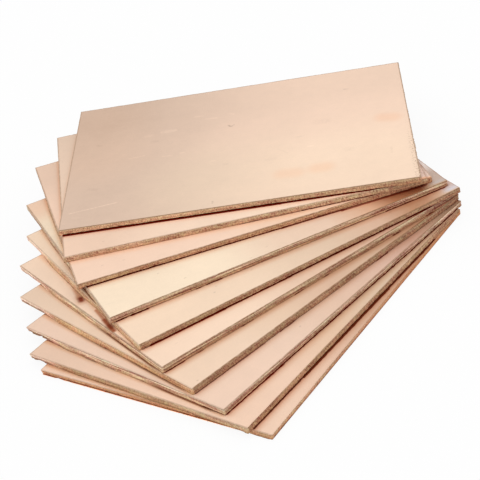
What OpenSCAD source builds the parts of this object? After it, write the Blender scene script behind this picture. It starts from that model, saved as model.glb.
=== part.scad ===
// Stack of copper-clad laminate sheets, fanned out about one corner.
//
// Each sheet is a flat tan core, sheared square, with copper foil bonded to its upper face.
// The sheets lie loose on each other, face to face. The lowest points its left end towards
// the front, and each one above it is turned further clockwise, seen from above, about the
// front right corner. The corners don't line up exactly: each sheet has slipped a little.
//
// Origin: centre of the lowest sheet's underside. +X runs along the long edges of the
// uppermost sheet, towards the corner that the fan turns about, and +Z up. Millimetres.

/* [Sheet] */
// Length of a sheet, along its long edges
sheet_l = 100; // [80:5:150]
// Width of a sheet, along its short edges
sheet_w = 70; // [50:5:80]
// Thickness of a sheet, core and foil together
sheet_t = 1.5; // [0.8:0.1:3.2]
// Thickness of the copper foil on a sheet's upper face
foil_t = 0.035; // [0.018:0.001:0.105]

/* [Stack] */
// Number of sheets, counted from the lowest
sheet_count = 10; // [1:1:10]
// Share of the full fan: 1 is fanned out, 0 is a squared-up pile
spread = 1; // [0:0.1:1]

/* [Hidden] */
// Direction of each sheet's long edges, lowest sheet first: degrees anticlockwise from +X
headings = [57.5, 54, 49.5, 44, 37.5, 31, 25, 16, 7.5, 0];
// Slip of each sheet's front right corner, in x and y, from where the lowest sheet's lies
slips = [
    [0, 0], [-0.5, -1.5], [0.5, -0.5], [0, 0.5], [0, 0],
    [0.5, -1], [-2.5, 1], [-6.5, 1.5], [-8, -1], [-9.5, -2.5]
];
// Thickness of the core alone
core_t = sheet_t - foil_t;
core_colour = [0.66, 0.52, 0.39];
copper_colour = [0.94, 0.79, 0.67];

// Point [x, y] turned anticlockwise by an angle about the origin
function turned(p, angle) = [
    p.x * cos(angle) - p.y * sin(angle),
    p.x * sin(angle) + p.y * cos(angle)
];

// Direction of sheet n, where n counts from 1, the lowest
function heading(n) = spread * headings[n - 1];

// Front right corner of the lowest sheet, whose centre is at the origin
pivot = turned([sheet_l / 2, -sheet_w / 2], heading(1));

// Name of the node that holds one layer, core or foil, of sheet n
function node_name(n, layer) = str("sheet_", n < 10 ? "0" : "", n, "_", layer);

// A layer of sheet n: the sheet's rectangle, from bottom up to top, heights in the sheet
module sheet_layer(n, bottom, top) {
    corner = pivot + spread * slips[n - 1];
    translate([corner.x, corner.y, (n - 1) * sheet_t + bottom])
        rotate([0, 0, heading(n)])
            translate([-sheet_l, 0, 0])
                cube([sheet_l, sheet_w, top - bottom]);
}

// The rigid board of sheet n
module sheet_core(n) {
    color(core_colour)
        sheet_layer(n, 0, core_t);
}

// The copper on the upper face of sheet n
module sheet_foil(n) {
    color(copper_colour)
        sheet_layer(n, core_t, sheet_t);
}

for (n = [1 : sheet_count]) {
    sheet_core(n);
    sheet_foil(n);
}
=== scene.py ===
import math

import bpy
import numpy as np
from mathutils import Matrix, Vector


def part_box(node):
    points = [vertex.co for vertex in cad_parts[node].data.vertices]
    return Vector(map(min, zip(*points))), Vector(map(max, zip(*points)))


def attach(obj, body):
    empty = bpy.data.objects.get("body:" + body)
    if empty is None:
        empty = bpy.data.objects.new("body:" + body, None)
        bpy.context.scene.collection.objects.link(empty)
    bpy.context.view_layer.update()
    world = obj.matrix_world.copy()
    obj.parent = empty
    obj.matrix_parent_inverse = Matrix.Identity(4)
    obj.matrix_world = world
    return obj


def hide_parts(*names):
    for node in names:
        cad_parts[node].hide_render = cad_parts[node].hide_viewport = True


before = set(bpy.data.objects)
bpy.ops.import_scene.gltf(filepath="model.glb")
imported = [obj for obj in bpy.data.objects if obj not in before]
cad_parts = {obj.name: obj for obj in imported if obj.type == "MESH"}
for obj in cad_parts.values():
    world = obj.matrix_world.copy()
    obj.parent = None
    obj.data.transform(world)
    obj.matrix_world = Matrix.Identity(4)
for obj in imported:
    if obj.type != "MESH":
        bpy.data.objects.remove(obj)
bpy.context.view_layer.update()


MM = 0.001

# Columns of points along the long and the short sides of a sheet, and columns to each cell of the coarse
# grids that close its top and bottom.
LONG_COLUMNS = 320
SHORT_COLUMNS = 224
CELL_COLUMNS = 8

# How far the coarse grids stay inside the outline, in mm.
BOTTOM_INSET = 2.9
TOP_INSET = 2.8

# How far the gap under an edge reaches in, its least and greatest height, its height at the right and at the
# back, and the height at which the painted shadow line in front of it is full, all in mm.
GAP_DEPTH = 1.3
LEAST_GAP = 0.012
MOST_GAP = 0.5
RIGHT_GAP = 0.03
BACK_GAP = 0.10
FULL_GAP = 0.3

# Metallic and specular level of clean copper, and specular level of the board.
METAL = 0.5
SHEEN = 0.1
BOARD_SHEEN = 0.35

# The sheets are counted from the lowest.
# copper: the tone of the metal at its front left, and how it changes to the right and at the back; that
# change is a painted reflection of the room's light.
# tint: how much green and blue it keeps. foot: painted light and shade on it along the front foot of the
# sheet above.
# wedge shading: painted shade where the gap to the sheet above narrows, and painted light on sheet 9, as
# (share of the length, tint).
COPPER = {
    1: dict(copper=(0.83, 0.0, 0.0), tint=(0.95, 0.90), foot=(0.88, 0.72, 0.62),
            wedge=[(0.1, (1, 1, 1)), (0.3, (0.90, 0.85, 0.82)), (0.5, (0.80, 0.71, 0.64))]),
    2: dict(copper=(0.84, 0.0, -0.09), tint=(0.945, 0.89), foot=(0.92, 0.78, 0.68),
            wedge=[(0.2, (1, 1, 1)), (0.4, (0.90, 0.88, 0.82)), (0.6, (0.83, 0.86, 0.82)),
                   (0.9, (0.80, 0.80, 0.76))]),
    3: dict(copper=(0.81, -0.03, -0.03), tint=(0.97, 0.94), foot=(0.93, 0.82, 0.74),
            wedge=[(0.3, (1, 1, 1)), (0.45, (0.94, 0.91, 0.88)), (0.65, (0.88, 0.81, 0.80)),
                   (0.8, (0.74, 0.60, 0.56)), (0.9, (0.65, 0.60, 0.54))]),
    4: dict(copper=(0.83, 0.02, -0.07), tint=(0.99, 0.93), foot=(0.87, 0.70, 0.58),
            wedge=[(0.2, (1, 1, 1)), (0.35, (0.92, 0.89, 0.86)), (0.5, (0.82, 0.74, 0.70)),
                   (0.65, (0.76, 0.69, 0.64)), (0.75, (0.68, 0.58, 0.52)), (0.9, (0.60, 0.50, 0.45))]),
    5: dict(copper=(0.87, -0.02, -0.05), tint=(0.995, 0.945), foot=(0.97, 0.80, 0.70),
            wedge=[(0.3, (1, 1, 1)), (0.5, (0.90, 0.83, 0.79)), (0.65, (0.86, 0.79, 0.76)),
                   (0.8, (0.80, 0.74, 0.74)), (0.9, (0.70, 0.60, 0.58))]),
    6: dict(copper=(0.86, -0.09, -0.05), tint=(1.01, 0.945), foot=(0.94, 0.78, 0.68),
            wedge=[(0.35, (1, 1, 1)), (0.6, (0.92, 0.89, 0.87)), (0.75, (0.90, 0.78, 0.74)),
                   (0.85, (0.72, 0.50, 0.38)), (0.9, (0.76, 0.53, 0.42)), (0.96, (0.90, 0.82, 0.78))]),
    7: dict(copper=(0.88, -0.03, -0.10), tint=(1.065, 1.005), foot=(1.02, 0.87, 0.78),
            wedge=[(0.35, (1, 1, 1)), (0.5, (0.94, 0.87, 0.87)), (0.65, (0.92, 0.83, 0.83)),
                   (0.77, (0.85, 0.63, 0.53)), (0.84, (0.58, 0.30, 0.19)), (0.92, (0.52, 0.22, 0.12)),
                   (0.95, (0.66, 0.58, 0.52))]),
    8: dict(copper=(0.85, 0.02, -0.12), tint=(0.96, 0.92), foot=(1.08, 0.97, 0.87),
            wedge=[(0.4, (1, 1, 1)), (0.6, (0.97, 0.93, 0.87)), (0.75, (1, 1, 1))]),
    9: dict(copper=(0.81, 0.04, -0.10), tint=(0.995, 0.96), foot=(1.06, 0.90, 0.82),
            wedge=[(0.1, (1.0, 0.96, 0.94)), (0.3, (1.03, 1.03, 1.03)), (0.55, (1.06, 1.07, 1.06)),
                   (0.8, (1.04, 1.04, 1.02))]),
    10: dict(copper=(0.67, 0.20, -0.06), tint=(0.98, 0.95), foot=(1, 1, 1), wedge=[]),
}
TOP = max(COPPER)

# Colours of the painted shadow line at a front foot, of the lowest sheet's painted shadow line, of the
# painted shade along the rim, and of the uppermost sheet's burrs together with its painted rim shade.
SHADOW_LINE_COLOUR = (0.16, 0.008, 0.001)
LOWEST_SHADOW_LINE = (0.125, 0.02, 0.006)
RIM_SHADE_COLOUR = (0.30, 0.165, 0.085)
BURR_AND_SHADE_COLOUR = (0.32, 0.20, 0.12)
# Tints of the painted shade at a left foot, on the upper sheets and on the lowest three, of the painted deep
# shade there, and of the painted reddish reflection round the painted shadow line.
LEFT_SHADE = (1.0, 0.90, 0.81)
LOW_LEFT_SHADE = (0.98, 0.86, 0.72)
DEEP_SHADE = (0.36, 0.22, 0.15)
FRINGE_REFLECTION = (0.92, 0.78, 0.74)
# Painted highlights at the right end of four sheets: pale on two and grey on two.
PALE_HIGHLIGHT = (1.0, 1.4, 2.1)
GREY_HIGHLIGHT = (0.85, 1.12, 1.5)
RIGHT_END_HIGHLIGHT = {6: PALE_HIGHLIGHT, 7: PALE_HIGHLIGHT, 8: GREY_HIGHLIGHT, 9: GREY_HIGHLIGHT}

# Colour of the metal by its tone.
COPPER_TONES = [(0.0, (0.04, 0.015, 0.01)), (0.4, (0.40, 0.27, 0.20)), (0.65, (0.65, 0.50, 0.405)),
                (0.85, (0.85, 0.665, 0.545)), (1.0, (1.0, 0.80, 0.67))]

# front and side: the tint of the front and left cut edges. right: how bright the front is at its right end,
# against its left end. layered: how strongly plies show. slant: how far the foot of the front and left edges
# stands out, in mm. rim: how dark the painted shade along the upper rim of the foil is at the front and left.
WALLS = {
    1: dict(front=(0.90, 0.90, 0.90), side=(0.48, 0.39, 0.34), right=1.0, layered=0.2,
            slant=(-0.2, 0.2), rim=(0.1, 0.5)),
    2: dict(front=(0.62, 0.62, 0.62), side=(0.68, 0.68, 0.66), right=1.0, layered=0.1,
            slant=(0.4, 0.2), rim=(0.1, 0.5)),
    3: dict(front=(1.03, 1.04, 1.14), side=(0.82, 0.85, 0.90), right=1.0, layered=1.0,
            slant=(0.3, 0.6), rim=(0.8, 0.3)),
    4: dict(front=(0.53, 0.53, 0.53), side=(0.84, 0.81, 0.76), right=1.0, layered=0.2,
            slant=(0.5, 0.6), rim=(1.0, 0.3)),
    5: dict(front=(0.90, 0.90, 0.90), side=(0.80, 0.81, 0.82), right=1.0, layered=1.0,
            slant=(0.5, 0.6), rim=(1.0, 0.7)),
    6: dict(front=(0.60, 0.60, 0.60), side=(0.88, 0.92, 0.96), right=1.0, layered=0.2,
            slant=(0.25, 0.7), rim=(1.0, 0.4)),
    7: dict(front=(1.02, 1.03, 1.06), side=(0.74, 0.79, 0.86), right=1.0, layered=1.0,
            slant=(0.45, 0.4), rim=(1.0, 0.6)),
    8: dict(front=(0.70, 0.70, 0.70), side=(0.70, 0.75, 0.80), right=1.12, layered=0.1,
            slant=(0.2, 0.3), rim=(0.9, 0.6)),
    9: dict(front=(0.79, 0.87, 0.94), side=(0.70, 0.75, 0.80), right=0.95, layered=0.1,
            slant=(0.4, 0.2), rim=(0.5, 0.6)),
    10: dict(front=(0.88, 0.92, 0.95), side=(0.70, 0.75, 0.80), right=0.82, layered=0.1,
             slant=(0.4, 0.0), rim=(0.9, 0.3)),
}

# Colours of a cut edge by the share of its height, plain and layered, at the front and at the left.
# The darker foot of each ramp is painted contact shade from the sheet below.
FRONT_PLAIN = [(0.0, (0.45, 0.16, 0.07)), (0.15, (0.60, 0.27, 0.14)), (0.35, (0.68, 0.34, 0.185)),
               (0.6, (0.68, 0.37, 0.21)), (0.9, (0.66, 0.38, 0.225)), (1.0, (0.60, 0.36, 0.22))]
FRONT_PLIED = [(0.0, (0.25, 0.10, 0.04)), (0.1, (0.32, 0.145, 0.07)), (0.2, (0.41, 0.20, 0.105)),
               (0.33, (0.42, 0.21, 0.115)), (0.39, (0.30, 0.15, 0.08)), (0.48, (0.29, 0.15, 0.08)),
               (0.56, (0.54, 0.34, 0.22)), (0.8, (0.55, 0.36, 0.24)), (0.93, (0.46, 0.32, 0.22)),
               (1.0, (0.34, 0.25, 0.17))]
LEFT_PLAIN = [(0.0, (0.36, 0.18, 0.07)), (0.14, (0.55, 0.28, 0.13)), (0.28, (0.72, 0.39, 0.21)),
              (0.65, (0.75, 0.45, 0.26)), (0.9, (0.72, 0.47, 0.30)), (1.0, (0.55, 0.38, 0.27))]
LEFT_PLIED = [(0.0, (0.36, 0.17, 0.08)), (0.14, (0.55, 0.28, 0.15)), (0.3, (0.74, 0.44, 0.26)),
              (0.55, (0.84, 0.54, 0.35)), (0.8, (0.86, 0.60, 0.42)), (0.9, (0.48, 0.33, 0.23)),
              (1.0, (0.34, 0.235, 0.16))]

# Tints of the darkest and the lightest grain in a cut edge, and the two hues that it changes between.
DARK_GRAIN = (0.35, 0.02, 0.0)
LIGHT_GRAIN = (1.65, 1.98, 2.0)
RED_HUE = (1.05, 0.94, 0.93)
GREEN_HUE = (0.96, 1.04, 0.94)
# Colour of the lowest sheet's front cut edge towards its right end.
WARM_EDGE = (0.60, 0.24, 0.09)

# Along the left edge, in mm: half of the slant before the first place and all of it after the second.
FULL_SLANT = (22.0, 36.0)
# How far the foot of the left edge stands out, in mm, where it overhangs the sheet below.
FREE_SLANT = {1: -0.48, 2: -0.4, 3: -0.4, 4: -0.3, 5: -0.2, 6: -0.1, 7: 0.0, 8: 0.0, 9: 0.0, 10: 0.0}
# Where the lowest sheet's left edge starts to count as overhanging, in mm from its front.
LOWEST_FREE = 12
# The uppermost sheet whose left edge is painted lighter where it overhangs, that painted light colour, and
# the lowest sheet's left edge colour at its foot, painted light on a face turned down into shade, and higher
# up.
LAST_FREE = 6
FREE_LIT_COLOUR = (1.02, 0.73, 0.58)
BASE_LIT_FOOT = (2.0, 1.15, 0.65)
BASE_COLOUR = (0.68, 0.33, 0.15)
# On the lowest two sheets the left edge is lighter near its front: how far back, in mm, and the tint there.
LIT_CORNER = {1: (40.0, (1.6, 1.8, 1.9)), 2: (24.0, (1.2, 1.28, 1.4))}

# front: stretches (from, to, height, reach) in mm where the sheet stands off the one below, and how far the
# painted shadow line on that sheet reaches out from the foot. left: the same without a line. shade: stretches
# (from, to, strength) of a painted dark shade at the foot of the left edge. ragged: how uneven a gap is.
# chips:
# how deeply the foot of the left edge is chipped where it overhangs, in mm.
GAPS = {
    1: dict(front=[], left=[], shade=[], ragged=0.2, chips=0.03),
    2: dict(front=[(1.5, 24, 0.25, 0.3), (22, 62, 0.34, 0.54), (60, 86, 0.34, 0.38)],
            left=[(50, 53, 0.2), (58, 63, 0.2)], shade=[], ragged=0.35, chips=0.14),
    3: dict(front=[(0, 22, 0.30, 0.2), (20, 45, 0.38, 0.05), (43, 78, 0.42, 0.0), (76, 100, 0.5, -0.1)],
            left=[(0, 7, 0.3), (26, 29, 0.25), (36, 41, 0.3), (43, 47, 0.3), (53, 56, 0.25)],
            shade=[(4, 24, 1.0)], ragged=0.5, chips=0.14),
    4: dict(front=[(9, 11, 0.2, 0.1), (29, 34.5, 0.2, 0.1), (65, 70, 0.22, 0.1), (0, 24, 0.18, 0.15),
                   (22, 100, 0.18, -0.18)],
            left=[(8, 60, 0.15)], shade=[(3, 24, 0.8), (24, 45, 0.35)], ragged=0.5, chips=0.03),
    5: dict(front=[(0, 6.5, 0.25, 0.2), (10, 12, 0.2, 0.1), (24, 28, 0.2, 0.1), (41, 44.5, 0.25, 0.1),
                   (51, 53, 0.2, 0.1), (75, 78, 0.22, 0.1), (87, 90, 0.22, 0.1), (0, 100, 0.1, 0.0)],
            left=[(6, 40, 0.1)], shade=[(3, 28, 1.0)], ragged=0.5, chips=0.03),
    6: dict(front=[(0.3, 4, 0.15, 0.2), (2.5, 25, 0.32, 0.35), (22, 45, 0.36, 0.2), (43, 90, 0.48, 0.05),
                   (88, 100, 0.28, 0.1)],
            left=[(5, 66, 0.1)], shade=[], ragged=0.25, chips=0.03),
    7: dict(front=[(1, 4.5, 0.32, 0.15), (5.2, 10.5, 0.36, 0.2), (23.5, 25.5, 0.25, 0.1),
                   (26.5, 31.5, 0.25, 0.1), (80, 99, 0.24, 0.1), (0, 100, 0.12, -0.1)],
            left=[(3, 66, 0.12)], shade=[(6, 26, 1.0)], ragged=0.5, chips=0.03),
    8: dict(front=[(1, 24, 0.38, 0.1), (22, 42, 0.30, 0.1), (40, 58, 0.26, 0.15), (56, 75, 0.22, 0.35),
                   (73, 98, 0.19, 0.7)],
            left=[(3, 66, 0.1)], shade=[], ragged=0.25, chips=0.03),
    9: dict(front=[(0, 50, 0.04, 0.0), (48, 66, 0.15, 0.0), (65, 88, 0.25, 0.0), (86, 100, 0.15, 0.0)],
            left=[(3, 66, 0.1)], shade=[], ragged=0.4, chips=0.03),
    10: dict(front=[(0.8, 62, 0.45, 0.5), (60, 73, 0.40, 0.35), (71, 82, 0.36, 0.3), (80, 89, 0.30, 0.2),
                    (87, 93, 0.20, 0.1)],
             left=[(3, 66, 0.1)], shade=[], ragged=0.1, chips=0.03),
}

# Marks on a sheet in its own millimetres: x, y, angle in degrees, length, width, strength. Light scratches
# are positive and dark smudges are negative.
MARKS = {
    10: [
        (29, 48, 0, 3.5, 1.4, 0.2), (23, 47, 5, 1.5, 1.2, 0.1), (25, 43, -15, 1.5, 1, -0.12),
        (38, 54.5, -5, 2.5, 0.6, 0.15), (42, 52, -5, 3.5, 0.6, 0.15), (48, 53, -20, 1.5, 0.6, 0.12),
        (47.5, 45.5, -55, 1, 0.5, -0.6), (48.5, 45.5, 50, 1, 0.4, -0.4), (20, 35, 5, 4.5, 0.4, 0.2),
        (29, 33, -5, 2.5, 0.5, 0.15), (33.5, 33.5, -5, 1, 0.5, 0.2), (9, 9.5, 10, 13.5, 0.4, 0.3),
        (5, 5.5, -10, 3, 0.4, 0.12), (43, 3, 90, 1, 0.4, -0.4), (43, 26, 0, 1, 0.6, 0.12),
        (46.5, 23, -10, 1, 0.6, -0.12), (8, 45.5, -15, 1, 0.8, -0.12), (8, 20, -15, 2, 1.2, -0.1),
        (83, 57.5, -5, 1, 0.6, -0.3), (75, 39.5, -5, 2.5, 2.5, -0.12), (68, 32.5, 0, 1, 0.6, -0.12),
        (71, 26, -10, 1.5, 0.4, 0.2), (63, 25.5, -50, 4, 0.5, -0.08), (59.5, 22, 0, 2, 1.4, -0.08),
        (82, 21, 0, 1, 2, -0.08), (93.5, 17, 90, 3, 0.6, -0.1),
    ],
}
# Sizes and strengths of the faint marks on every other sheet.
FAINT_MARKS = [(0.3, -0.4), (0.4, -0.3), (0.5, -0.25), (0.3, -0.3), (2.0, -0.06)]

# Tinted patches and stains on a sheet, and on sheet 5 painted shadows in the hollows under the sheets above:
# x, y, angle, length, width, tint.
STAINS_AND_SHADOWS = {
    10: [(66, 12, 0, 45, 34, (1, 1.03, 1.01)), (6, 50, 90, 20, 25, (1, 0.975, 0.95)),
         (94, 36, -15, 3, 4, (1, 0.93, 0.88)), (64.5, 12.5, -5, 4, 4, (1, 0.94, 0.90)),
         (73.5, 13, 0, 2.5, 4, (1, 0.93, 0.88))],
    7: [(2, 67, 0, 14, 12, (1, 0.88, 0.85))],
    # Painted shadows under the overhanging corners of sheets 7 and 8 and along the left foot of sheet 6.
    5: [(2.5, 41.5, 70, 2, 2.4, (0.88, 0.74, 0.66)), (2.5, 41.5, 70, 1, 1.4, (0.36, 0.12, 0.08)),
        (3.5, 45, 70, 5, 1.3, (0.78, 0.62, 0.52)), (1.6, 29, 80, 10, 0.8, (0.70, 0.48, 0.38)),
        (1, 25.5, 80, 6, 1.1, (0.62, 0.36, 0.27)), (0.7, 24, 80, 2.5, 1.2, (0.70, 0.48, 0.38))],
}

# Heights of the rows of points up a cut edge, as shares of it, and how far a ply stands out at some of them.
WALL_ROWS = (0, 0.07, 0.19, 0.31, 0.42, 0.50, 0.58, 0.70, 0.82, 0.93, 1)
PLY_RELIEF = {0.31: -0.02, 0.42: -0.10, 0.50: -0.02, 0.70: 0.02, 0.82: 0.02}
# The board's rolled rim: distance in from the outline in mm, and the share of the roll there.
ROLLED = ((0.12, 0.55), (0.4, 0.15), (1.2, 0.02))
# The same for the foil, from its flat part out to the rim.
FOIL_ROLLED = ((1.2, 0.0), (0.4, 0.15), (0.12, 0.55), (0.0, 1.0))


# ---------------------------------------------------------------- measuring the frame

def sheet_names(n):
    """The CAD names of the core and the foil of sheet n, counted from the lowest."""
    return f"sheet_{n:02d}_core", f"sheet_{n:02d}_foil"


def flat_corners(node):
    """The four corners of a CAD sheet seen from above."""
    seen = {(round(v.co.x, 6), round(v.co.y, 6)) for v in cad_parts[node].data.vertices}
    return [Vector((x, y, 0)) for x, y in sorted(seen)]


def measure(n):
    """Where sheet n lies: its place as a matrix, and its length, width, core and whole height in mm."""
    core, foil = sheet_names(n)
    points = flat_corners(core)
    spans = sorted((points[0] - p).length for p in points)
    width, length = spans[1], spans[2]
    far = next(p for p in points if abs((points[0] - p).length - length) < 1e-6)
    along = (far - points[0]).normalized()
    if along.x < 0:
        along = -along
    across = Vector((-along.y, along.x, 0))
    start = min(points, key=lambda p: p.dot(along) + p.dot(across))
    low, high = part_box(core)
    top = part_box(foil)[1].z
    place = Matrix((along, across, Vector((0, 0, 1)))).transposed().to_4x4()
    place.translation = Vector((start.x, start.y, low.z))
    return dict(place=place, length=length / MM, width=width / MM,
                core=(high.z - low.z) / MM, whole=(top - low.z) / MM)


# ---------------------------------------------------------------- relief along a sheet's edge

def eased(share):
    """A share from 0 to 1 with slow ends."""
    return share * share * (3 - 2 * share)


def flow(rng, count, step):
    """Values from -1 to 1 round a closed ring, that change smoothly over about step columns."""
    knots = max(4, round(count / step))
    values = rng.uniform(-1, 1, knots)
    at = np.arange(count) * knots / count
    low = at.astype(int)
    part = eased(at - low)
    return values[low % knots] * (1 - part) + values[(low + 1) % knots] * part


def stretches(along, parts, ease):
    """The greatest height of the parts (from, to, height) at each place along a side, with eased ends."""
    height = np.zeros_like(along)
    for start, end, value in parts:
        rise = np.clip((along - start) / ease + 0.5, 0, 1) * np.clip((end - along) / ease + 0.5, 0, 1)
        height = np.maximum(height, value * rise)
    return height


class Ring:
    """The columns round a sheet, counterclockwise from its front left corner, in millimetres."""

    def __init__(self, length, width):
        self.half = np.array([length / 2, width / 2])
        steps = [LONG_COLUMNS, SHORT_COLUMNS, LONG_COLUMNS, SHORT_COLUMNS]
        turns = [np.arange(k) / k for k in steps]
        one = np.ones
        self.x = np.concatenate([turns[0], one(steps[1]), 1 - turns[2], 0 * one(steps[3])]) * length
        self.y = np.concatenate([0 * one(steps[0]), turns[1], one(steps[2]), 1 - turns[3]]) * width
        self.side = np.repeat(np.arange(4), steps)
        self.count = len(self.side)
        self.corners = np.cumsum([0] + steps[:3])
        out = np.array([(0, -1), (1, 0), (0, 1), (-1, 0)], float)
        self.normal = out[self.side]
        self.normal[self.corners] += out[[3, 0, 1, 2]]
        self.toward = np.stack([self.x, self.y], 1) / self.half - 1

    def row(self, depth, lift, z):
        """Points depth mm inside the outline, lift mm out along its normals, at height z."""
        flat = np.stack([self.x, self.y], 1) - self.toward * np.reshape(depth, (-1, 1)) \
            + self.normal * np.reshape(lift, (-1, 1))
        return np.column_stack([flat, np.broadcast_to(z, self.count)])


class Skin:
    """A closed mesh made of rows of points round a ring, with a grid over each end."""

    def __init__(self, ring):
        self.ring = ring
        self.points = []
        self.faces = []
        self.total = 0

    def add(self, points):
        """Adds points and gives the number of the first of them."""
        start = self.total
        self.points.append(points)
        self.total += len(points)
        return start

    def band(self, low, high):
        """Joins the rings of points that begin at low and at high."""
        here = np.arange(self.ring.count)
        there = (here + 1) % self.ring.count
        self.faces += np.stack([low + here, low + there, high + there, high + here], 1).tolist()

    def cap(self, start, depth, z, up):
        """Covers the ring that begins at start with a coarse grid depth mm inside the outline."""
        nx, ny = LONG_COLUMNS // CELL_COLUMNS, SHORT_COLUMNS // CELL_COLUMNS
        half = self.ring.half
        xs = (np.linspace(-1, 1, nx + 1) * (half[0] - depth)) + half[0]
        ys = (np.linspace(-1, 1, ny + 1) * (half[1] - depth)) + half[1]
        gx, gy = np.meshgrid(xs, ys)
        grid = self.add(np.column_stack([gx.ravel(), gy.ravel(), np.full(gx.size, z)]))
        at = lambda i, j: grid + j * (nx + 1) + i
        faces = [[at(i, j), at(i + 1, j), at(i + 1, j + 1), at(i, j + 1)]
                 for j in range(ny) for i in range(nx)]
        loop = [at(i, 0) for i in range(nx)] + [at(nx, j) for j in range(ny)] \
            + [at(nx - i, ny) for i in range(nx)] + [at(0, ny - j) for j in range(ny)]
        middle = CELL_COLUMNS // 2
        for k, here in enumerate(loop):
            there = loop[(k + 1) % len(loop)]
            fine = [start + (k * CELL_COLUMNS + i) % self.ring.count for i in range(CELL_COLUMNS + 1)]
            faces += [[fine[i], fine[i + 1], here] for i in range(middle)]
            faces.append([fine[middle], there, here])
            faces += [[fine[i], fine[i + 1], there] for i in range(middle, CELL_COLUMNS)]
        self.faces += faces if up else [face[::-1] for face in faces]

    def build(self, name, place):
        """Makes the object at its place in the frame."""
        mesh = bpy.data.meshes.new(name)
        mesh.from_pydata((np.concatenate(self.points) * MM).tolist(), [], self.faces)
        mesh.update()
        piece = bpy.data.objects.new(name, mesh)
        bpy.context.scene.collection.objects.link(piece)
        piece.matrix_world = place
        return piece


def free_from(n, sheets, ring):
    """How far along its left side, in mm, sheet n starts to overhang. The lowest only looks as if it did."""
    if n == 1:
        return LOWEST_FREE
    lower = sheets[n - 1]
    move = lower["place"].inverted() @ sheets[n]["place"]
    rim = np.stack([ring.x, ring.y], 1) + ring.normal * 0.3
    flat = rim @ np.array(move.to_3x3())[:2, :2].T + np.array(move.translation)[:2] / MM
    hangs = (ring.side == 3) & (ring.y > ring.half[1]) & (flat[:, 1] > lower["width"])
    return ring.y[hangs].min() if hangs.any() else 2 * ring.half[1]


def gap_heights(n, ring, rng, hanging):
    """The height of the gap under the edge of sheet n at each column, in mm."""
    gaps = GAPS[n]
    corner = np.clip((2 * ring.half[0] - ring.x - 1) / 2, 0, 1)
    front_parts = [part[:3] for part in gaps["front"]]
    gap = np.where(ring.side == 0, stretches(ring.x, front_parts, 1.2) * corner, 0)
    gap = np.maximum(gap, np.where(ring.side == 3, stretches(ring.y, gaps["left"], 1.2), 0))
    gap = np.maximum(gap, np.select([ring.side == 1, ring.side == 2], [RIGHT_GAP, BACK_GAP], 0.0))
    chips = flow(rng, ring.count, 9) + 0.5 * flow(rng, ring.count, 4)
    gap = gap * (1 - hanging * (n > 1)) + np.clip(chips, 0, 1.5) * gaps["chips"] * hanging
    ragged = gaps["ragged"]
    gap = gap * (1 + 0.35 * ragged * flow(rng, ring.count, 5) + 0.3 * ragged * flow(rng, ring.count, 1.6))
    return np.clip(gap, LEAST_GAP, MOST_GAP)


def foot_slants(n, ring, hanging):
    """How far the foot of the cut edge of sheet n stands out at each column, in mm."""
    front, left = WALLS[n]["slant"]
    front = front * np.clip((ring.half[0] * 2 - ring.x) / 4, 0, 1)
    low, high = FULL_SLANT
    left = left * (0.5 + 0.5 * eased(np.clip((ring.y - low) / (high - low), 0, 1)))
    left = left + (FREE_SLANT[n] - left) * eased(hanging)
    slants = np.select([ring.side == 0, ring.side == 3], [front, left], 0.0)
    return sum(np.roll(slants, k) for k in range(-3, 4)) / 7


def edge_shape(n, sheets, ring):
    """The relief that the core and the foil of sheet n share: the gap below, the roll and the outline."""
    rng = np.random.default_rng(100 + n)
    free = free_from(n, sheets, ring)
    hanging = np.clip((ring.y - free + 10) / 12, 0, 1) * (ring.side == 3)
    gap = gap_heights(n, ring, rng, hanging)
    roll = 0.055 + 0.02 * flow(rng, ring.count, 9) + 0.015 * flow(rng, ring.count, 2)
    nip = np.zeros(ring.count)
    nip[ring.corners] = rng.uniform(0.02, 0.06, 4)
    outline = 0.022 * flow(rng, ring.count, 24) + 0.014 * flow(rng, ring.count, 5)
    outline = outline + 0.012 * flow(rng, ring.count, 1.5)
    return dict(gap=gap, roll=roll, nip=nip, outline=outline, slant=foot_slants(n, ring, hanging),
                rng=rng, free=free)


# ---------------------------------------------------------------- the pieces

def make_core(n, sheet, ring, shape):
    """The board of sheet n, with a torn, sheared wall all round and a low gap under its lower edge."""
    rng, gap, base = shape["rng"], shape["gap"], shape["nip"]
    depth = 0.05 + GAP_DEPTH * np.clip(gap / 0.1, 0, 1)
    skin = Skin(ring)
    rows = [skin.add(ring.row(base + depth, 0, 0)),
            skin.add(ring.row(base + depth * 0.96, 0, gap * 0.6)),
            skin.add(ring.row(base + depth * 0.5, 0, gap))]
    top = sheet["core"] - shape["roll"]
    coarse = 0.02 * flow(rng, ring.count, 12)
    striped = 0.030 * flow(rng, ring.count, 1.3) + 0.02 * flow(rng, ring.count, 3)
    for t in WALL_ROWS:
        # Up to 0.7 of its height the edge is torn, and above that it is sheared more and more smoothly.
        fracture = math.sin(math.pi * t / 0.7) * 0.5 + 0.5 if t < 0.7 else 0.5 * (1 - t) / 0.3
        fine = 0.016 * flow(rng, ring.count, 1.1)
        torn = 0.05 * flow(rng, ring.count, 2)
        lift = shape["outline"]
        if t < 1:
            lift = lift + (coarse + shape["slant"]) * (1 - t) + striped * fracture + fine
            lift = lift + torn * (t == 0) + PLY_RELIEF.get(t, 0) * WALLS[n]["layered"]
        rows.append(skin.add(ring.row(base, lift, gap + (top - gap) * t)))
    for inset, share in ROLLED:
        height = sheet["core"] - shape["roll"] * share
        rows.append(skin.add(ring.row(base + inset, shape["outline"] * share, height)))
    for low, high in zip(rows, rows[1:]):
        skin.band(low, high)
    skin.cap(rows[0], BOTTOM_INSET, 0, False)
    skin.cap(rows[-1], TOP_INSET, sheet["core"], True)
    return skin.build(f"board_{n:02d}", sheet["place"])


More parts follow.
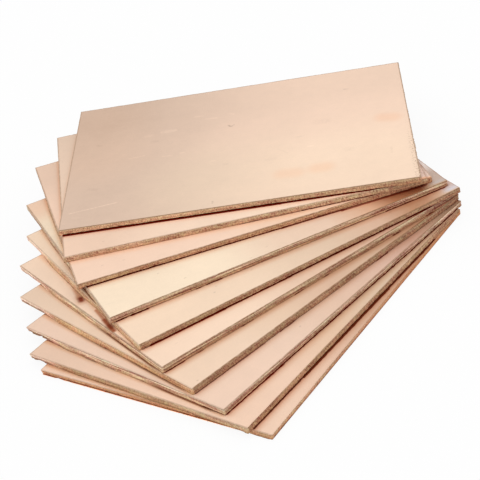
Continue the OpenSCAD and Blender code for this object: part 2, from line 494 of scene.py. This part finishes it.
def make_foil(n, sheet, ring, shape):
    """The copper foil of sheet n, rolled down a little at its sheared rim, with a fine burr."""
    rng, base = shape["rng"], shape["nip"]
    burr = 0.010 + 0.010 * flow(rng, ring.count, 1.5) + 0.008 * flow(rng, ring.count, 6)
    if n == TOP:
        rough = np.where(ring.side == 1, stretches(ring.y, [(1, 24, 1.0), (24, 70, 0.3)], 4), 0)
        burr = burr + rough * 0.18 * np.clip(flow(rng, ring.count, 1.7) + 0.1, 0, 1)
    skin = Skin(ring)
    under = sheet["core"] + 0.001
    rows = []
    for height, steps in ((under, FOIL_ROLLED), (sheet["whole"], FOIL_ROLLED[::-1])):
        for inset, share in steps:
            lift = shape["outline"] * share + burr * (inset == 0)
            rows.append(skin.add(ring.row(base + inset, lift, height - shape["roll"] * share)))
    for low, high in zip(rows, rows[1:]):
        skin.band(low, high)
    skin.cap(rows[0], TOP_INSET, under, False)
    skin.cap(rows[-1], TOP_INSET, sheet["whole"], True)
    return skin.build(f"copper_{n:02d}", sheet["place"])


# ---------------------------------------------------------------- node materials

class Tree:
    """A node material with one Principled shader, and short names for the nodes that feed it."""

    def __init__(self, name):
        self.material = bpy.data.materials.new(name)
        self.material.use_nodes = True
        self.nodes = self.material.node_tree.nodes
        self.links = self.material.node_tree.links
        self.surface = self.nodes["Principled BSDF"]
        place = self.nodes.new("ShaderNodeTexCoord").outputs["Object"]
        self.mm = self.vector("SCALE", place, scale=1 / MM)
        self.x, self.y, self.z = self.parts(self.mm)

    def feed(self, socket, value):
        """Links a socket to another node's output, or sets it to a number or a colour."""
        if isinstance(value, bpy.types.NodeSocket):
            self.links.new(value, socket)
        elif isinstance(value, (tuple, list)) and len(value) == 3 and socket.type == "RGBA":
            socket.default_value = (*value, 1)
        else:
            socket.default_value = value

    def math(self, operation, a, b=None, c=None):
        node = self.nodes.new("ShaderNodeMath")
        node.operation = operation
        for socket, value in zip(node.inputs, (a, b, c)):
            if value is not None:
                self.feed(socket, value)
        return node.outputs[0]

    def plus(self, a, b):
        return self.math("ADD", a, b)

    def minus(self, a, b):
        return self.math("SUBTRACT", a, b)

    def times(self, a, b):
        return self.math("MULTIPLY", a, b)

    def most(self, a, b):
        return self.math("MAXIMUM", a, b)

    def scaled(self, value, factor, offset):
        """value times factor, plus offset."""
        return self.math("MULTIPLY_ADD", value, factor, offset)

    def total(self, first, *terms):
        """first plus each (value, weight), where a value swings about a half."""
        for value, weight in terms:
            first = self.scaled(self.minus(value, 0.5), weight, first)
        return first

    def vector(self, operation, a, b=None, scale=None):
        node = self.nodes.new("ShaderNodeVectorMath")
        node.operation = operation
        self.feed(node.inputs[0], a)
        if b is not None:
            self.feed(node.inputs[1], b)
        if scale is not None:
            node.inputs["Scale"].default_value = scale
        return node.outputs["Value" if operation == "LENGTH" else "Vector"]

    def join(self, x, y, z):
        node = self.nodes.new("ShaderNodeCombineXYZ")
        for socket, value in zip(node.inputs, (x, y, z)):
            self.feed(socket, value)
        return node.outputs[0]

    def parts(self, place):
        node = self.nodes.new("ShaderNodeSeparateXYZ")
        self.feed(node.inputs[0], place)
        return node.outputs

    def turned(self, matrix):
        """The place in another frame, whose 4 by 4 matrix is in millimetres."""
        node = self.nodes.new("ShaderNodeMapping")
        self.feed(node.inputs["Vector"], self.mm)
        node.inputs["Location"].default_value = matrix.translation
        node.inputs["Rotation"].default_value = matrix.to_euler()
        return node.outputs[0]

    def noise(self, place, scale, detail=2.0, roughness=0.5):
        node = self.nodes.new("ShaderNodeTexNoise")
        self.feed(node.inputs["Vector"], place)
        for name, value in (("Scale", scale), ("Detail", detail), ("Roughness", roughness)):
            node.inputs[name].default_value = value
        return node.outputs["Fac"]

    def spread(self, value, low, high, to_low=0.0, to_high=1.0):
        """to_low where value is under low, to_high where it is over high, and smooth between."""
        node = self.nodes.new("ShaderNodeMapRange")
        node.interpolation_type = "SMOOTHSTEP"
        for socket, given in zip(node.inputs, (value, low, high, to_low, to_high)):
            self.feed(socket, given)
        return node.outputs[0]

    def fade(self, value, low, high):
        """1 where value is under low, 0 where it is over high, and smooth between."""
        return self.spread(value, low, high, 1.0, 0.0)

    def within(self, value, opens, closes):
        """1 from the slope opens to the slope closes, each given by its two ends, and 0 outside."""
        return self.times(self.spread(value, *opens), self.fade(value, *closes))

    def ramp(self, factor, stops):
        node = self.nodes.new("ShaderNodeValToRGB")
        self.feed(node.inputs[0], factor)
        band = node.color_ramp
        for place, colour in stops[2:]:
            band.elements.new(place)
        elements = sorted(band.elements, key=lambda element: element.position)
        for element, (place, colour) in zip(elements, sorted(stops)):
            element.position = place
            element.color = (*colour, 1)
        return node.outputs[0]

    def mix(self, factor, a, b, blend="MIX"):
        node = self.nodes.new("ShaderNodeMix")
        node.data_type = "RGBA"
        node.blend_type = blend
        self.feed(node.inputs[0], factor)
        self.feed(node.inputs[6], a)
        self.feed(node.inputs[7], b)
        return node.outputs[2]

    def tinted(self, factor, colour, tint):
        """colour multiplied by tint where factor is 1."""
        return self.mix(factor, colour, tint, "MULTIPLY")

    def bump(self, height, distance, strength):
        """Bumps the surface by height, where distance is in mm."""
        node = self.nodes.new("ShaderNodeBump")
        node.inputs["Strength"].default_value = strength
        node.inputs["Distance"].default_value = distance * MM
        self.feed(node.inputs["Height"], height)
        self.feed(self.surface.inputs["Normal"], node.outputs[0])


# ---------------------------------------------------------------- masks on the copper

def mark_mask(tree, x, y, angle, length, width):
    """1 inside a rounded stroke on the sheet and 0 outside."""
    turn = Matrix.Rotation(math.radians(-angle), 4, "Z") @ Matrix.Translation((-x, -y, 0))
    flat = tree.vector("MULTIPLY", tree.turned(turn), (1, 1, 0))
    beyond = tree.vector("SUBTRACT", tree.vector("ABSOLUTE", flat), (length / 2, 0, 0))
    beyond = tree.vector("MAXIMUM", beyond, (0, 0, 0))
    return tree.fade(tree.vector("LENGTH", beyond), 0.15 * width, width)


def rim_shade_mask(tree, n, length, width):
    """The painted shade along the rim of the foil, from 0 to 1, strongest where its sheet has a dark rim."""
    front, left = WALLS[n]["rim"]
    ways = ((tree.y, front), (tree.x, left), (tree.minus(length, tree.x), 0.5),
            (tree.minus(width, tree.y), 0.5))
    mask = 0.0
    for distance, strength in ways:
        mask = tree.most(tree.spread(distance, 0.12, 0.45, strength, 0.0), mask)
    return mask


def specks(tree, length, place):
    """Dark burrs and chips along the front half of the right edge."""
    near = tree.times(tree.fade(tree.minus(length, tree.x), 0.2, 2.2),
                      tree.spread(tree.y, 20.0, 30.0, 1.0, 0.15))
    return tree.times(near, tree.spread(tree.noise(place, 2.0, 3, 0.7), 0.51, 0.60, 0.0, 0.7))


def place_above(tree, n, sheets):
    """The place on sheet n in the frame of the sheet above it: x and y in mm."""
    move = sheets[n + 1]["place"].inverted() @ sheets[n]["place"]
    move.translation = move.translation / MM
    axes = tree.parts(tree.turned(move))
    return axes[0], axes[1]


def shadow_line_masks(tree, n, x, y):
    """The painted shadow line on sheet n along the front foot of the sheet above, and the painted reddish
    reflection round it.
    """
    gaps, foot = GAPS[n + 1], WALLS[n + 1]["slant"][0]
    shown, reach = 0.0, 0.0
    for start, end, height, ahead in gaps["front"]:
        part = tree.within(x, (start - 0.6, start + 0.4), (end - 0.4, end + 1.6))
        shown = tree.most(tree.times(part, min(1.0, height / FULL_GAP)), shown)
        reach = tree.most(tree.times(part, 1.0 + ahead), reach)
    wander = tree.noise(tree.join(x, float(n), 0.0), 0.6, 2)
    wander = tree.scaled(tree.minus(wander, 0.5), gaps["ragged"], foot - 1.0)
    past = tree.plus(tree.plus(y, wander), reach)
    present = tree.spread(shown, 0.0, 0.9)
    fringe_from = tree.spread(x, 18.0, 30.0, -0.9, -0.5)
    return (tree.times(tree.spread(past, -0.12, 0.08), present),
            tree.times(tree.spread(past, fringe_from, 0.1), present))


def foot_shades(tree, n, x, y):
    """Soft shades on sheet n in front and to the left of the sheet above, and a deep one at its left foot."""
    front, left = WALLS[n + 1]["slant"]
    ahead = tree.minus(-front, y)
    in_front = tree.times(tree.fade(ahead, 0.0, 2.6), tree.spread(x, -1.0, 1.0))
    beside = tree.minus(tree.spread(y, *FULL_SLANT, -0.5 * left, -left), x)
    at_left = tree.times(tree.fade(beside, 0.0, 1.2), tree.spread(y, -1.0, 1.0))
    deep = 0.0
    for start, end, strength in GAPS[n + 1]["shade"]:
        part = tree.within(y, (start - 3, start + 2), (end - 6, end + 6))
        deep = tree.most(tree.times(part, strength), deep)
    return in_front, at_left, tree.times(tree.fade(beside, 0.1, 0.7), deep)


# ---------------------------------------------------------------- copper foil

def foil_noises(tree, n, place):
    """Wide clouds, small blotches, grain and rolling lines."""
    rolled = tree.join(tree.times(tree.x, 0.03), tree.times(tree.y, 1.6), 9.0 * n)
    return (tree.noise(place, 0.05, 3), tree.noise(place, 0.35, 2), tree.noise(place, 2.2, 2, 0.6),
            tree.noise(rolled, 1.0, 3, 0.6))


def foil_tone(tree, n, length, width):
    """The even tone of the metal, with a painted reflection of the room's light that changes it to the right
    and to the back.
    """
    tone, right, back = COPPER[n]["copper"]
    tone = tree.scaled(tree.spread(tree.x, 0.05 * length, 0.8 * length), right, tone)
    return tree.scaled(tree.spread(tree.y, 0.35 * width, 0.98 * width), back, tone)


def faint_marks(n, length):
    """Faint pits and smudges scattered along the front of a sheet, written as in MARKS."""
    rng = np.random.default_rng(500 + n)
    marks = []
    for size, strength in FAINT_MARKS:
        x, y, angle = rng.uniform(2, length - 20), rng.uniform(1, 14), rng.uniform(-10, 10)
        marks.append((x, y, angle, size, 0.35, strength))
    return marks


def marked(tree, n, length, place, tone, height):
    """The tone and the height of the foil with the sheet's marks in them, worn away in places."""
    worn = tree.spread(tree.noise(place, 1.3, 2), 0.35, 0.6, 0.4, 1.0)
    for *stroke, strength in MARKS.get(n) or faint_marks(n, length):
        mask = tree.times(mark_mask(tree, *stroke), worn)
        tone = tree.scaled(mask, strength * 0.35, tone)
        height = tree.scaled(mask, -0.4 * abs(strength), height)
    return tone, height


def foil_colour(tree, n, tone, length):
    """The colour of the metal by its tone, with its sheet's tints and stains, and with painted shade, painted
    highlights and painted shadows.
    """
    colour = tree.tinted(1.0, tree.ramp(tone, COPPER_TONES), (1.0, *COPPER[n]["tint"]))
    # Painted highlight at the right end of the sheet.
    if n in RIGHT_END_HIGHLIGHT:
        highlight_strip = tree.times(tree.spread(tree.x, 0.94 * length, 0.98 * length),
                               tree.spread(tree.y, 0.0, 1.5))
        colour = tree.tinted(highlight_strip, colour, RIGHT_END_HIGHLIGHT[n])
    # Painted shade in the narrowing wedge in front of the sheet above, and painted light on sheet 9.
    if COPPER[n]["wedge"]:
        wedge_shading_tint = tree.ramp(tree.math("DIVIDE", tree.x, length), COPPER[n]["wedge"])
        colour = tree.tinted(tree.fade(tree.y, 6.0, 12.0), colour, wedge_shading_tint)
    for *stroke, patch_tint in STAINS_AND_SHADOWS.get(n, []):
        colour = tree.tinted(mark_mask(tree, *stroke), colour, patch_tint)
    return colour


def shaded(tree, n, sheets, colour):
    """The colour of sheet n under the painted shades of the sheet above, and the mask of the painted shadow
    line there.
    """
    x, y = place_above(tree, n, sheets)
    shadow_line, fringe = shadow_line_masks(tree, n, x, y)
    in_front, at_left, deep = foot_shades(tree, n, x, y)
    # Painted light and shade along the front foot of the sheet above.
    colour = tree.tinted(in_front, colour, COPPER[n]["foot"])
    colour = tree.tinted(at_left, colour, LEFT_SHADE if n > 3 else LOW_LEFT_SHADE)
    colour = tree.tinted(deep, colour, DEEP_SHADE)
    # Painted reddish reflection round the painted shadow line.
    colour = tree.tinted(fringe, colour, FRINGE_REFLECTION)
    # A painted shadow line where the sheet above stands off this one.
    return tree.mix(shadow_line, colour, SHADOW_LINE_COLOUR if n > 1 else LOWEST_SHADOW_LINE), shadow_line


def copper(n, sheets):
    """Rolled copper: soft clouds, faint rolling lines, painted shade along the rim and a painted shadow line
    by the sheet above.
    """
    tree = Tree(f"copper_foil_{n:02d}")
    length, width = sheets[n]["length"], sheets[n]["width"]
    place = tree.vector("ADD", tree.mm, (37.0 * n, 11.0 * n, 5.0 * n))
    clouds, small, grain, lines = foil_noises(tree, n, place)
    tone = tree.total(foil_tone(tree, n, length, width),
                      (clouds, 0.10), (small, 0.05), (grain, 0.05), (lines, 0.015))
    height = tree.total(tree.times(grain, 0.5), (lines, 0.6), (small, 0.5))
    tone, height = marked(tree, n, length, place, tone, height)
    # Painted shade along the foil's rolled rim.
    rim = tree.times(rim_shade_mask(tree, n, length, width), tree.spread(tree.noise(place, 0.8), 0.2, 0.6, 0.5))
    colour = tree.mix(rim, foil_colour(tree, n, tone, length), RIM_SHADE_COLOUR)
    # Where the painted shadow line and rim shade lie, and on the top sheet its real burrs, the copper is less
    # metallic.
    if n < TOP:
        colour, shadow_line = shaded(tree, n, sheets, colour)
        shade_and_burrs = tree.most(shadow_line, rim)
    else:
        shade_and_burrs = tree.most(specks(tree, length, place), rim)
        colour = tree.mix(shade_and_burrs, colour, BURR_AND_SHADE_COLOUR)
    surface = tree.surface.inputs
    tree.feed(surface["Metallic"], tree.scaled(shade_and_burrs, -METAL, METAL))
    tree.feed(surface["Specular IOR Level"], tree.scaled(shade_and_burrs, -SHEEN, SHEEN))
    tree.feed(surface["Base Color"], colour)
    tree.feed(surface["Roughness"], tree.total(0.75, (clouds, 0.10), (small, 0.08)))
    tree.bump(height, 0.02, 0.25)
    return tree.material


# ---------------------------------------------------------------- board edges

def front_bands(tree, n, height, length):
    """The colour of the front cut edge by its height, plain and layered."""
    right = WALLS[n]["right"]
    bands = tree.mix(WALLS[n]["layered"], tree.ramp(height, FRONT_PLAIN), tree.ramp(height, FRONT_PLIED))
    bands = tree.tinted(1.0, bands, WALLS[n]["front"])
    return tree.tinted(tree.spread(tree.x, 0.40 * length, 0.68 * length), bands, (right, right, right))


def left_bands(tree, n, height, free):
    """The colour of the left cut edge by its height, with painted light where it overhangs the sheet below.
    """
    bands = tree.mix(WALLS[n]["layered"], tree.ramp(height, LEFT_PLAIN), tree.ramp(height, LEFT_PLIED))
    bands = tree.tinted(1.0, bands, WALLS[n]["side"])
    # Painted light on the overhanging part of the left edge.
    if n <= LAST_FREE:
        lit_overhang = FREE_LIT_COLOUR
        if n == 1:
            lit_overhang = tree.mix(tree.spread(tree.z, 0.4, 1.0), BASE_LIT_FOOT, BASE_COLOUR)
        bands = tree.mix(tree.spread(tree.y, free - 8.0, free + 1.0), bands, lit_overhang)
    if n in LIT_CORNER:
        reach, gain = LIT_CORNER[n]
        bands = tree.tinted(tree.fade(tree.y, 6.0, reach), bands, gain)
    return bands


def board_noises(tree, n):
    """Speckle, short upright marks, long patches, plies and slow changes of hue."""
    along = tree.plus(tree.x, tree.y)
    offset = 13.0 * n
    stretched = lambda flat, tall: tree.join(tree.times(along, flat), tree.times(tree.z, tall), offset)
    speckle = tree.noise(tree.vector("ADD", tree.mm, (offset, 0.0, 0.0)), 2.4, 3, 0.7)
    upright = tree.noise(stretched(2.8, 0.9), 1.0, 2, 0.6)
    patches = tree.noise(stretched(0.14, 0.8), 1.0, 2)
    plies = tree.spread(tree.noise(stretched(0.08, 3.5), 1.0, 3, 0.6), 0.38, 0.62)
    hue = tree.noise(tree.vector("ADD", tree.mm, (0.0, offset, 0.0)), 0.4, 3, 0.7)
    return speckle, upright, patches, plies, hue


def core(n, sheets, free):
    """Sheared board: a speckled brown edge with short upright marks, and plies on some sheets."""
    tree = Tree(f"board_edge_{n:02d}")
    speckle, upright, patches, plies, hue = board_noises(tree, n)
    height = tree.math("DIVIDE", tree.total(tree.z, (patches, 0.14)), sheets[n]["whole"])
    at_left = tree.fade(tree.x, 0.05, 0.35)
    colour = tree.mix(at_left, front_bands(tree, n, height, sheets[n]["length"]),
                      left_bands(tree, n, height, free))
    layered = WALLS[n]["layered"]
    fine = tree.total(0.0, (speckle, 1.8 - 0.6 * layered), (upright, 0.8 - 0.1 * layered))
    value = tree.scaled(fine, tree.spread(tree.x, 0.05, 0.35, 0.65, 1.0), 0.5)
    value = tree.total(value, (patches, 0.3), (plies, 0.25 + 0.35 * layered))
    colour = tree.tinted(1.0, colour, tree.mix(value, DARK_GRAIN, LIGHT_GRAIN))
    colour = tree.tinted(1.0, colour, tree.mix(tree.spread(hue, 0.35, 0.65), RED_HUE, GREEN_HUE))
    if n == 1:
        warm = tree.times(tree.spread(tree.x, 25.0, 80.0, 0.0, 0.7), tree.fade(tree.y, 0.5, 3.0))
        colour = tree.mix(warm, colour, WARM_EDGE)
    surface = tree.surface.inputs
    tree.feed(surface["Base Color"], colour)
    tree.feed(surface["Roughness"], tree.total(0.72, (speckle, 0.3)))
    surface["Specular IOR Level"].default_value = BOARD_SHEEN
    tree.bump(tree.total(tree.times(upright, 0.8), (speckle, 0.8)), 0.06, 0.5)
    return tree.material


# ---------------------------------------------------------------- the stack

def dress(piece, material, node):
    """Gives a piece its material and its place in the frame."""
    piece.data.materials.append(material)
    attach(piece, "root")
    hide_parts(node)


def make_stack():
    """A board and a foil in the place of each CAD sheet."""
    sheets = {n: measure(n) for n in COPPER}
    for n, sheet in sheets.items():
        ring = Ring(sheet["length"], sheet["width"])
        shape = edge_shape(n, sheets, ring)
        board_node, foil_node = sheet_names(n)
        dress(make_core(n, sheet, ring, shape), core(n, sheets, shape["free"]), board_node)
        dress(make_foil(n, sheet, ring, shape), copper(n, sheets), foil_node)


# ---------------------------------------------------------------- floor, light and camera

FLOOR_SIZE = 40
# The share of the floor's look that is even white, for the camera and for reflections. The rest is lit.
FLOOR_WHITE = 0.91
# Strength of the room's light level with the floor and straight overhead.
ROOM_LIGHT = (0.45, 1.5)
# The camera's turn from straight ahead, tilt down and roll in degrees, its distance from the point that it
# looks at, and that point, in metres.
CAMERA_TURN = 6.35
CAMERA_TILT = 32.1
CAMERA_ROLL = -11.75
CAMERA_DISTANCE = 0.4056
CAMERA_AIM = Vector((-0.00376, 0.01461, 0.0075))
# Focal length and sensor width, in mm.
LENS = 112.5
SENSOR = 36


def make_floor():
    """A plain pale floor that keeps the stack's shadow."""
    bpy.ops.mesh.primitive_plane_add(size=FLOOR_SIZE, location=(0, 0, 0))
    floor = bpy.context.object
    floor.name = "floor"
    material = bpy.data.materials.new("pale_floor")
    material.use_nodes = True
    nodes, links = material.node_tree.nodes, material.node_tree.links
    nodes.clear()
    paint = nodes.new("ShaderNodeBsdfDiffuse")
    paint.inputs["Color"].default_value = (0.8, 0.8, 0.8, 1)
    glow = nodes.new("ShaderNodeEmission")
    glow.inputs["Strength"].default_value = 1.0
    rays = nodes.new("ShaderNodeLightPath")
    seen = nodes.new("ShaderNodeMath")
    seen.operation = "MAXIMUM"
    links.new(rays.outputs["Is Camera Ray"], seen.inputs[0])
    links.new(rays.outputs["Is Glossy Ray"], seen.inputs[1])
    share = nodes.new("ShaderNodeMath")
    share.operation = "MULTIPLY"
    share.inputs[1].default_value = FLOOR_WHITE
    links.new(seen.outputs[0], share.inputs[0])
    blend = nodes.new("ShaderNodeMixShader")
    links.new(share.outputs[0], blend.inputs[0])
    links.new(paint.outputs[0], blend.inputs[1])
    links.new(glow.outputs[0], blend.inputs[2])
    out = nodes.new("ShaderNodeOutputMaterial")
    links.new(blend.outputs[0], out.inputs["Surface"])
    floor.data.materials.append(material)


def make_light():
    """An even white room, brighter overhead than at its walls."""
    world = bpy.data.worlds.new("studio")
    world.use_nodes = True
    bpy.context.scene.world = world
    nodes, links = world.node_tree.nodes, world.node_tree.links
    room = nodes["Background"]
    room.inputs["Color"].default_value = (1, 1, 1, 1)
    axes = nodes.new("ShaderNodeSeparateXYZ")
    links.new(nodes.new("ShaderNodeTexCoord").outputs["Generated"], axes.inputs[0])
    level = nodes.new("ShaderNodeMapRange")
    for socket, value in zip(list(level.inputs)[1:5], (0.0, 1.0, *ROOM_LIGHT)):
        socket.default_value = value
    links.new(axes.outputs[2], level.inputs[0])
    links.new(level.outputs[0], room.inputs["Strength"])


def make_camera():
    """The view from a little above the front, rolled so that the fan opens to the left."""
    turn, tilt, roll = math.radians(CAMERA_TURN), math.radians(CAMERA_TILT), math.radians(CAMERA_ROLL)
    ahead = Vector((-math.sin(turn) * math.cos(tilt), math.cos(turn) * math.cos(tilt), -math.sin(tilt)))
    level = Vector((math.cos(turn), math.sin(turn), 0))
    upright = level.cross(ahead)
    right = level * math.cos(roll) + upright * math.sin(roll)
    up = -level * math.sin(roll) + upright * math.cos(roll)
    lens = bpy.data.cameras.new("camera")
    lens.lens = LENS
    lens.sensor_width = SENSOR
    lens.clip_start = 0.01
    camera = bpy.data.objects.new("camera", lens)
    bpy.context.scene.collection.objects.link(camera)
    place = Matrix((right, up, -ahead)).transposed().to_4x4()
    place.translation = CAMERA_AIM - ahead * CAMERA_DISTANCE
    camera.matrix_world = place
    bpy.context.scene.camera = camera
    bpy.context.scene.view_settings.view_transform = "Standard"


make_stack()
make_floor()
make_light()
make_camera()
